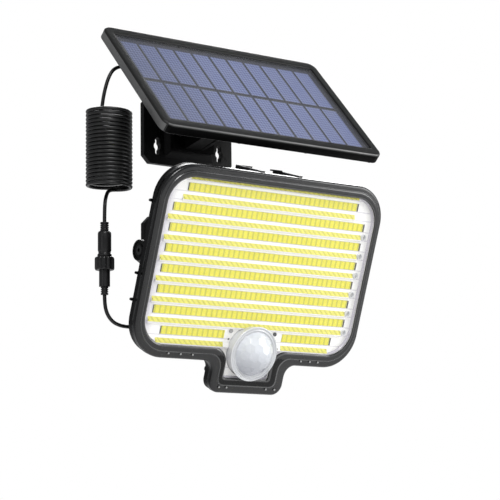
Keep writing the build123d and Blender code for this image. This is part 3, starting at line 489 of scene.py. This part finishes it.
# ---------------------------------------------------------------- screw-locked connector
def on_plug(x, y, z):
    """A point of the plug's axis frame, in millimetres, to the row frame."""
    return upright(-115.8 + x, -60.0 + y, z)


SOCKET_PROFILE = [
    (0.0, 0.4), (2.4, 0.4), (3.7, 0.25), (4.5, -0.3), (4.9, -1.1), (5.0, -2.2), (5.0, -14.4),
    (4.85, -14.8), (4.6, -15.1), (4.6, -16.6), (4.8, -16.9), (5.2, -17.2), (5.3, -17.7),
    (5.3, -18.8), (5.1, -19.05), (4.6, -19.1), (4.6, -25.9), (3.35, -26.0), (3.3, -18.6), (0.0, -18.6),
]
socket_shell = lathe(
    "socket_shell", SOCKET_PROFILE, on_plug, (0, 0), PLUG, "wall_mount", 64, ["socket_body"]
)


def fluted(radius, depth, z, flutes=10, steps=120):
    """A loop of the lock nut, with rounded lobes between narrow flutes."""
    points = []
    for i in range(steps):
        a = radians(360 * i / steps)
        dip = (0.5 + 0.5 * cos(flutes * a)) ** 3
        r = radius - depth * dip
        points.append(on_plug(r * cos(a), r * sin(a), z))
    return points


def make_lock_nut():
    """The lock nut, from its rim round its fluted grip and back through its bore."""
    outer = [
        (5.6, 0.0, -19.25), (6.5, 0.2, -19.3), (7.0, 0.5, -19.6), (7.3, 0.85, -20.2), (7.4, 1.0, -21.0),
        (7.4, 1.0, -27.2), (7.3, 0.9, -28.1), (7.0, 0.6, -28.7), (6.5, 0.2, -28.95), (5.4, 0.0, -29.0),
    ]
    inner = [
        (4.25, 0.0, -29.0), (4.15, 0.0, -28.9), (4.15, 0.0, -28.1), (4.7, 0.0, -28.0), (4.7, 0.0, -19.4)
    ]
    verts, faces = skin([fluted(*ring) for ring in outer + inner], True)
    return piece("lock_nut_shell", verts, faces, PLUG, "lock_nut", True, ["coupling_nut"])


lock_nut_shell = make_lock_nut()


# ---------------------------------------------------------------- cords
CORD_D = 2.8
COIL_CENTRE, COIL_R, COIL_STEPS = (-111.7, -60.0), 16.1, 16
COIL_HIGH, COIL_LOW, COIL_START, COIL_SWEEP = 91.4, 33.9, 111.0, 19.654 * 360


def coil_points():
    """Control points of the coil's turns, wound down from the top at the back."""
    count = round(COIL_SWEEP / 360 * COIL_STEPS)
    step = COIL_SWEEP / count
    radius = COIL_R / cos(radians(step / 2))
    points = []
    for i in range(count + 1):
        a = radians(COIL_START + i * step)
        z = COIL_HIGH + (COIL_LOW - COIL_HIGH) * i / count
        x, y = COIL_CENTRE
        points.append((x + radius * cos(a), y + radius * sin(a), z))
    return points


def spline_curve(name, points, thickness):
    """A curve along a route's control points, given in millimetres."""
    data = bpy.data.curves.new(name, "CURVE")
    data.dimensions = "3D"
    data.resolution_u = 4
    spline = data.splines.new("NURBS")
    spline.points.add(len(points) - 1)
    for target, point in zip(spline.points, points):
        target.co = (*(upright(*point)), 1.0)
    spline.order_u = 3
    spline.use_endpoint_u = True
    data.bevel_depth = thickness * MM / 2
    data.bevel_resolution = 4
    return bpy.data.objects.new(name, data)


def line_length(line):
    """Length of a line of points."""
    return sum((b - a).length for a, b in zip(line, line[1:]))


def cord_piece(name, points):
    """A cord's tube as a mesh, with the points that it follows."""
    tube = spline_curve(name + "_tube", points, CORD_D)
    mesh = bpy.data.meshes.new_from_object(tube)
    bare = spline_curve(name + "_line", points, 0)
    line = [v.co.copy() for v in bpy.data.meshes.new_from_object(bare).vertices]
    mesh.materials.clear()
    mesh.materials.append(CORD)
    for face in mesh.polygons:
        face.use_smooth = True
    made = bpy.data.objects.new(name, mesh)
    bpy.context.scene.collection.objects.link(made)
    bpy.data.objects.remove(tube)
    bpy.data.objects.remove(bare)
    return made, line


PANEL_ROUTE = [
    (-76.0, -47.54, 132.44),
    (-84.0, -47.54, 132.44),
    (-92.8, -47.4, 132.0),
    (-99.8, -47.0, 128.4),
    (-103.6, -46.4, 121.2),
    (-105.9, -45.6, 112.8),
    (-107.4, -44.8, 104.2),
    (-108.0, -44.3, 97.0),
    (-110.0, -44.0, 93.5),
    (-113.5, -43.9, 91.6),
]
TAIL_ROUTE = [
    (-96.2, -58.5, 33.9),
    (-98.9, -54.0, 34.0),
    (-103.6, -52.6, 33.8),
    (-108.4, -54.4, 32.4),
    (-112.2, -57.6, 29.2),
    (-115.0, -59.6, 23.6),
    (-115.8, -60.0, 15.2),
    (-115.8, -60.0, 6.8),
]
LAMP_ROUTE = [
    (-90.0, -61.34, -69.98),
    (-96.0, -61.34, -69.98),
    (-102.6, -61.2, -69.6),
    (-109.4, -60.9, -67.2),
    (-114.2, -60.4, -61.2),
    (-115.8, -60.0, -53.6),
    (-115.8, -60.0, -47.3),
]

panel_cord, panel_line = cord_piece("panel_cord", PANEL_ROUTE + coil_points() + TAIL_ROUTE)
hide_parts("panel_lead", "cord_coil", "plug_lead")
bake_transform(panel_cord)
line_length(panel_line)
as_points(panel_line)
lamp_cord, lamp_line = cord_piece("lamp_cord", LAMP_ROUTE)
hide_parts("lamp_lead")
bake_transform(lamp_cord)
line_length(lamp_line)
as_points(lamp_line)


# ---------------------------------------------------------------- bezel
CORNER_STEPS, SMALL_STEPS = 20, 12

# Outlines: half width, top, bottom, corner; the tab's half width, bottom, corner, flare, middle x.
OUTER = (105.25, 71.3, -74.9, 28.0, 34.5, -99.3, 9.0, 9.0, 6.5)
WINDOW = (98.3, 61.8, -64.2, 21.0, 21.1, -86.9, 2.0, 12.0, 3.3)
INWARD = (-1, -1, 1, -1, -1, 1, -1, 1, 0)


def drawn_in(outline, inset):
    """An outline's sizes, drawn in by inset."""
    return tuple(size + sign * inset for size, sign in zip(outline, INWARD))


def between(outline_a, outline_b, share):
    """An outline part of the way from one to the other."""
    return tuple(a + (b - a) * share for a, b in zip(outline_a, outline_b))


def tabbed_loop(outline, out):
    """Points round a rounded rectangle with a tab below it."""
    half_w, top, bottom, corner, tab_half, tab_bottom, tab_corner, flare, mid = outline
    x, y = half_w - corner, top - corner
    points = arc(x, y, corner, 0, 90, CORNER_STEPS) + arc(-x, y, corner, 90, 180, CORNER_STEPS)
    y = bottom + corner
    points += arc(-x, y, corner, 180, 270, CORNER_STEPS)
    fx, fy = tab_half + flare, bottom - flare
    points += arc(mid - fx, fy, flare, 90, 0, SMALL_STEPS)
    tx, ty = tab_half - tab_corner, tab_bottom + tab_corner
    points += arc(mid - tx, ty, tab_corner, 180, 270, SMALL_STEPS)
    points += arc(mid + tx, ty, tab_corner, 270, 360, SMALL_STEPS)
    points += arc(mid + fx, fy, flare, 180, 90, SMALL_STEPS)
    points += arc(x, y, corner, 270, 360, CORNER_STEPS)
    return [lamp(px, up, out) for px, up in points]


def bezel_loops():
    """The bezel's section, from its back edge over its crown to the window's edge."""
    loops = [tabbed_loop(drawn_in(OUTER, 2.4), -2.98), tabbed_loop(drawn_in(OUTER, 0.3), -3.0)]
    loops.append(tabbed_loop(OUTER, -2.7))
    for angle in range(0, 91, 15):
        a = radians(angle)
        loops.append(tabbed_loop(drawn_in(OUTER, 2.2 - 2.2 * cos(a)), 0.9 + 2.2 * sin(a)))
    crown = [
        (0.44, 3.2), (0.47, 3.25), (0.50, 3.55), (0.53, 3.95), (0.57, 4.12),
        (0.64, 4.2), (0.76, 4.2), (0.86, 4.14), (0.93, 3.98), (0.975, 3.7), (1.0, 3.25), (1.0, 3.05),
    ]
    loops += [tabbed_loop(between(OUTER, WINDOW, share), out) for share, out in crown]
    return loops


def make_bezel():
    """The bezel, with painted shade on its walls, two lines of painted highlight along its edges and,
    on its tab, painted shade on the crown between them.
    """
    loops = bezel_loops()
    verts, faces = skin(loops)
    made = piece("bezel", verts, faces, BEZEL, "lamp_head", True, ["front_bezel"])
    made.data.materials.append(BEZEL_PAINTED_HIGHLIGHT)
    made.data.materials.append(BEZEL_PAINTED_SHADE)
    count, edge, dark = len(loops[0]), 1, 2
    # Painted shade on the outer and inner walls and the tab's crown; painted highlight on two edge
    # lines.
    for first, last, slot in ((2, 5, dark), (12, 14, edge), (17, 19, edge), (19, 21, dark)):
        paint_band(made, count, first, last, slot)
    tab_top = lamp(0, -70, 4).z
    paint_band(made, count, 14, 17, dark, lambda face: face.center.z < tab_top)


make_bezel()

# The wall between the bezel's window and the reflector, as (inset, out) from the window's edge.
wall = [(-0.3, 1.75), (-0.1, 1.7), (0.3, 0.4), (0.5, -0.15), (0.9, -0.18)]
verts, faces = skin([tabbed_loop(drawn_in(WINDOW, inset), out) for inset, out in wall])
piece("window_wall", verts, faces, LINER, "lamp_head")


# ---------------------------------------------------------------- motion sensor
SENSOR_X, SENSOR_UP, SPHERE_R, SPHERE_OUT = 3.3, -66.2, 18.64, 0.96
RING_PROFILE = [
    (19.8, -4.9), (19.8, 5.4), (20.1, 6.4), (20.9, 7.1), (21.4, 7.6), (21.4, 8.1), (21.0, 8.5),
    (20.5, 8.5), (20.1, 8.1), (19.7, 7.7), (19.2, 7.9), (18.8, 8.5), (18.3, 8.5), (17.9, 7.9),
    (17.6, 7.7), (17.3, 7.9), (17.1, 8.3), (16.9, 8.3), (16.8, 6.0),
]
lathe(
    "sensor_collar", RING_PROFILE, lamp, (SENSOR_X, SENSOR_UP), RING, "lamp_head", 96,
    ["sensor_ring"]
)


def dome_facets(spacing, reach):
    """Six-sided facets on the dome's sphere, as loops of local (x, up, out) points."""
    facets = []
    size = spacing / 3**0.5
    rings = 6
    for q in range(-rings, rings + 1):
        for r in range(-rings, rings + 1):
            a, b = spacing * (q + r / 2), spacing * r * 3**0.5 / 2
            if hypot(a, b) > reach:
                continue
            corners = []
            for k in range(6):
                turn = radians(30 + 60 * k)
                ca, cb = a + size * cos(turn), b + size * sin(turn)
                polar, around = hypot(ca, cb) / SPHERE_R, atan2(cb, ca)
                flat = SPHERE_R * sin(polar)
                x, up = SENSOR_X + flat * cos(around), SENSOR_UP + flat * sin(around)
                corners.append((x, up, SPHERE_OUT + SPHERE_R * cos(polar)))
            facets.append(corners)
    return facets


def make_dome():
    """The faceted dome, cut off where it meets its ring."""
    cut_out = 8.2
    verts, faces = [], []
    for corners in dome_facets(7.2, 25.0):
        faces.append(tuple(range(len(verts), len(verts) + 6)))
        verts += [lamp(*corner) for corner in corners]
    dome = piece("sensor_lens", verts, faces, MILKY, None, False)
    shape = bmesh.new()
    shape.from_mesh(dome.data)
    bmesh.ops.remove_doubles(shape, verts=shape.verts, dist=0.00005)
    out = (lamp(0, 0, 1) - lamp(0, 0, 0)).normalized()
    everything = shape.verts[:] + shape.edges[:] + shape.faces[:]
    bmesh.ops.bisect_plane(
        shape, geom=everything, plane_co=lamp(0, 0, cut_out), plane_no=out, clear_inner=True
    )
    bmesh.ops.recalc_face_normals(shape, faces=shape.faces)
    shape.to_mesh(dome.data)
    shape.free()
    soften(dome, 0.3, 2, 4)
    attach(dome, "lamp_head")
    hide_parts("sensor_dome")


make_dome()


# ---------------------------------------------------------------- light strips' trim
END_ROW_HALF, ROW_HALF = 80.0, 90.0
LAST_GAP = (-22.1, 32.9)
SCREW_X, SCREW_DROP = 92.0, 7.3


def row_up(row):
    """Height of a row's middle."""
    return ((ROWS - 1) / 2 - row) * ROW_PITCH


def row_half(row):
    """Half of a row's width: the first and the last are shorter."""
    return END_ROW_HALF if row in (0, ROWS - 1) else ROW_HALF


def row_spans(row, left, right):
    """A row's stretches between its two ends: the last row makes way for the sensor."""
    if row < ROWS - 1:
        return [(left, right)]
    return [(left, LAST_GAP[0]), (LAST_GAP[1], right)]


def quads(name, patches, finish):
    """Flat four-cornered skins on the lamp, each as four (x, up, out) corners."""
    verts = [lamp(*corner) for patch in patches for corner in patch]
    faces = [tuple(range(4 * i, 4 * i + 4)) for i in range(len(patches))]
    piece(name, verts, faces, finish, "lamp_head", False)


def make_painted_reflections():
    """Painted reflections of the strips in the glossy ridges, as a skin just over each slanted face."""
    crest_out = 1.33
    patches = []
    for row in range(ROWS):
        half, top = row_half(row), row_up(row) - STRIP_H / 2
        for left, right in row_spans(row, -half - 4.0, half - 0.6):
            near, far = (top - 2.7, -0.30), (top - 6.5, crest_out)
            patches.append([(left, *near), (right, *near), (right, *far), (left, *far)])
    half, near, far = END_ROW_HALF, (61.7, 0.6), (60.0, crest_out)
    patches.append([(-half, *near), (half, *near), (half, *far), (-half, *far)])
    quads("painted_strip_reflections", patches, PAINTED_STRIP_REFLECTION)


def make_end_bars():
    """The dark ends of each strip's channel, and the dark notch at each ridge's left end."""
    bar_out = 0.04
    notch = [(0.0, 0.0, 0.9), (1.8, 0.0, 1.0), (1.8, 1.6, 0.8), (0.9, 1.0, 0.8)]
    patches = []
    for row in range(ROWS):
        half, up = row_half(row), row_up(row)
        low, high = up - STRIP_H / 2, up + STRIP_H / 2
        for a, b in ((-half - 1.0, -half - 0.1), (half + 0.1, half + 1.5)):
            patches.append([(x, y, bar_out) for x, y in ((a, low), (b, low), (b, high), (a, high))])
        left, tip = -half - 4.9, low - 6.4
        patches.append([(left + x, tip + y, out) for x, y, out in notch])
    quads("strip_end_bars", patches, INNER)


def bumps(name, points, radius, height, finish):
    """Small round pips on the lamp, each at (x, up, out)."""
    steps, rings, ring_turn = 14, 4, 29
    verts, faces = [], []
    for x, up, out in points:
        loops = []
        for k in range(rings):
            a = radians(k * ring_turn)
            ring = arc(x, up, radius * cos(a), 0, 360, steps)[:-1]
            loops.append([lamp(px, py, out + height * sin(a)) for px, py in ring])
        more_verts, more_faces = skin(loops)
        start = len(verts)
        top = start + steps * (rings - 1)
        verts += more_verts
        faces += [tuple(start + i for i in face) for face in more_faces]
        faces.append(tuple(range(top, top + steps)))
    piece(name, verts, faces, finish, "lamp_head")


def make_screw_rings():
    """The raised white seats round the reflector's screws."""
    profile = [(2.5, -0.2), (2.45, 1.0), (2.25, 1.35), (1.95, 1.35), (1.8, 1.0), (1.75, -0.2)]
    for row in range(1, ROWS - 1):
        centre = (SCREW_X, row_up(row) - SCREW_DROP)
        lathe(f"screw_seat_{row}", profile, lamp, centre, RING, "lamp_head", 28)


make_painted_reflections()
make_end_bars()
make_screw_rings()

# Pips on the bezel's lower edge and its tab, light grey as painted glints, and dark dots beside the
# motion sensor.
LOWER_PIPS = [(x, -70.6, 3.9) for x in (-72, -61, -50, 53, 62, 70)]
TAB_PIPS = [(x, -94.4, 3.9) for x in (-20, -13, 24.5, 33)]
bumps("bezel_pips", LOWER_PIPS + TAB_PIPS, 0.8, 0.6, PIP)
bumps("face_dots", [(-18.3, -57.3, 1.3), (29.5, -62.7, 1.3)], 0.8, 0.3, INNER)


def make_side_clips():
    """The snap clips' noses along the housing's left edge."""
    nose = [(-104.0, -1.3), (-104.0, 1.3), (-106.2, 0.9), (-106.6, 0.0), (-106.2, -0.9)]
    count = len(nose)
    for i, up in enumerate((39.6, -14.8, -34.7)):
        verts = [lamp(x, up + y, out) for out in (-9.6, -7.6) for x, y in nose]
        faces = [tuple(range(count)), tuple(range(count, 2 * count))]
        for j in range(count):
            k = (j + 1) % count
            faces.append((j, k, count + k, count + j))
        soften(piece(f"side_clip_{i + 1}", verts, faces, HOUSING, "lamp_head", False), 0.25)


make_side_clips()


# ---------------------------------------------------------------- panel frame
def rounded_loop(half_w, half_h, corner, out):
    """Points round a rounded rectangle on the panel."""
    x, y = half_w - corner, half_h - corner
    points = []
    for sx, sy, start in ((1, 1, 0), (-1, 1, 90), (-1, -1, 180), (1, -1, 270)):
        points += arc(sx * x, sy * y, corner, start, start + 90, 10)
    return [panel(px, up, out) for px, up in points]


def make_panel_frame():
    """The panel's frame: painted light on its side walls and lower edge, and painted shade on the wall
    underneath.
    """
    half_w, half_h, round_r = 104.25, 63.5, 1.6
    section = [(2.0, 2.0, 6.0, -7.95), (0.4, 0.4, 7.6, -8.0), (0.0, 0.0, 8.0, -7.6)]
    for angle in range(0, 91, 15):
        a = radians(angle)
        inset = round_r - round_r * cos(a)
        section.append((inset, inset, 8.0 - inset, -round_r + round_r * sin(a)))
    section += [(6.6, 8.1, 2.9, 0.0), (7.1, 8.6, 2.4, -0.1)]
    section += [(7.4, 8.9, 2.1, -0.4), (7.5, 9.0, 2.0, -1.18)]
    loops = [
        rounded_loop(half_w - in_x, half_h - in_y, corner, out) for in_x, in_y, corner, out in section
    ]
    verts, faces = skin(loops)
    frame_piece = piece("panel_surround", verts, faces, FRAME, "solar_panel", True, ["panel_frame"])
    frame_piece.data.materials.append(FRAME_PAINTED_LIGHT)
    frame_piece.data.materials.append(PAINTED_SHADE_BLACK)
    count, light, black = len(loops[0]), 1, 2
    # Painted shade on the wall underneath, painted light on the side walls and the lower edge's
    # rounding.
    paint_band(frame_piece, count, 2, 3, black, lambda face: face.normal.z < -0.6)
    paint_band(frame_piece, count, 2, 3, light, lambda face: abs(face.normal.x) > 0.7)
    paint_band(frame_piece, count, 5, 9, light, lambda face: face.normal.y < -0.9)


make_panel_frame()


# ---------------------------------------------------------------- floor, light and background
def make_stage():
    """A plain floor well below the part."""
    floor_z, half = -0.30, 4.0
    corners = [(-half, -half), (half, -half), (half, half), (-half, half)]
    n = Nodes("floor_paint")
    n.set(Base_Color=n.ramp(n.noise(3.0), [(0.3, (0.86, 0.86, 0.86)), (0.7, (0.9, 0.9, 0.9))]))
    n.set(Roughness=0.7)
    floor = piece("floor", [(x, y, floor_z) for x, y in corners], [(0, 1, 2, 3)], n.material, None)


def softbox(name, at, size, power):
    """A rectangular light aimed at the middle of the part."""
    aim = (0, -0.08, 0.02)
    data = bpy.data.lights.new(name, "AREA")
    data.shape = "RECTANGLE"
    data.size, data.size_y = size
    data.energy = power
    light = bpy.data.objects.new(name, data)
    light.location = at
    light.rotation_euler = (Vector(aim) - Vector(at)).to_track_quat("-Z", "Y").to_euler()
    bpy.context.scene.collection.objects.link(light)


def make_world():
    """White where the background is seen, and a dimmer cool white as ambient light."""
    world = bpy.data.worlds.new("studio")
    world.use_nodes = True
    bpy.context.scene.world = world
    tree = world.node_tree
    seen = tree.nodes["Background"]
    seen.inputs["Color"].default_value = (1, 1, 1, 1)
    seen.inputs["Strength"].default_value = 1.0
    ambient = tree.nodes.new("ShaderNodeBackground")
    ambient.inputs["Color"].default_value = (0.95, 0.97, 1.0, 1)
    ambient.inputs["Strength"].default_value = 0.34
    path = tree.nodes.new("ShaderNodeLightPath")
    either = tree.nodes.new("ShaderNodeMixShader")
    tree.links.new(path.outputs["Is Camera Ray"], either.inputs[0])
    tree.links.new(ambient.outputs[0], either.inputs[1])
    tree.links.new(seen.outputs[0], either.inputs[2])
    tree.links.new(either.outputs[0], tree.nodes["World Output"].inputs[0])


make_stage()
make_world()
softbox("key", (-0.7, -1.5, 1.4), (0.8, 0.8), 25)
softbox("fill", (1.4, -1.2, 0.5), (0.7, 1.4), 20)
softbox("side", (-1.5, -0.3, 0.3), (0.2, 1.4), 2)
softbox("back", (0.9, 1.1, 0.9), (0.8, 0.8), 16)
bpy.context.scene.view_settings.view_transform = "Standard"
